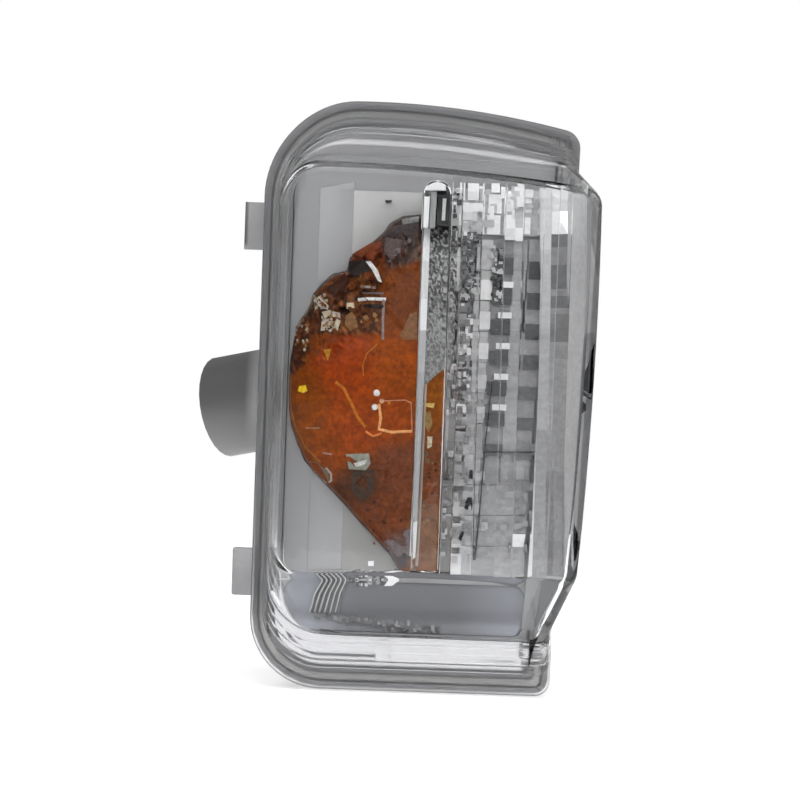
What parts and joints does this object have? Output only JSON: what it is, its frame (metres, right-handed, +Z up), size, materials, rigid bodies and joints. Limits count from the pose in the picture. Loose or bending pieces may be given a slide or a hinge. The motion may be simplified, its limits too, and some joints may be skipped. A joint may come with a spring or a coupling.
{
  "type": "vehicle indicator lamp",
  "caption": "Vehicle indicator lamp: clear fluted lens with a stepped rim, amber dome, stepped reflector, grey bowl housing and a side socket tube with a quarter-turn bulb holder.",
  "frame": {"origin": "middle of the housing's flat back wall", "axes": "+Y out of the back of the housing, +Z upwards along the lamp's height, +X to the right seen from the front"},
  "size_m": [0.0797, 0.048, 0.1178],
  "materials": {
    "clear_lens": "polished clear acrylic with moulded flutes",
    "grey_moulding": "satin moulded plastic",
    "adhesive": "cured sealing bead",
    "amber_plastic": "glossy tinted polycarbonate",
    "bright_coating": "metallised moulding",
    "soft_rubber": "matte",
    "holder_plastic": "glass-filled moulding",
    "contact_brass": "stamped strip",
    "bulb_glass": "clear blown glass",
    "lead_wire": "drawn wire"
  },
  "bodies": {
    "lamp": {"outer_lens": "clear_lens", "rear_housing": "grey_moulding", "lens_seal": "adhesive", "amber_filter": "amber_plastic", "reflector_insert": "bright_coating", "vent_cap": "soft_rubber"},
    "bulb_holder": {"bulb_holder": "holder_plastic", "holder_seal": "soft_rubber", "contact_upper": "contact_brass", "contact_lower": "contact_brass", "bulb_glass": "bulb_glass", "bulb_lead_upper": "lead_wire", "bulb_lead_lower": "lead_wire", "filament": "lead_wire"}
  },
  "joints": [
    {"name": "bulb_holder_turn", "type": "hinge", "parent": "lamp", "child": "bulb_holder", "pos_m": [-0.0394, -0.0099, -0.0033], "axis": [-0.8907, 0.4134, -0.1891], "range_deg": [0, 45]}
  ]
}
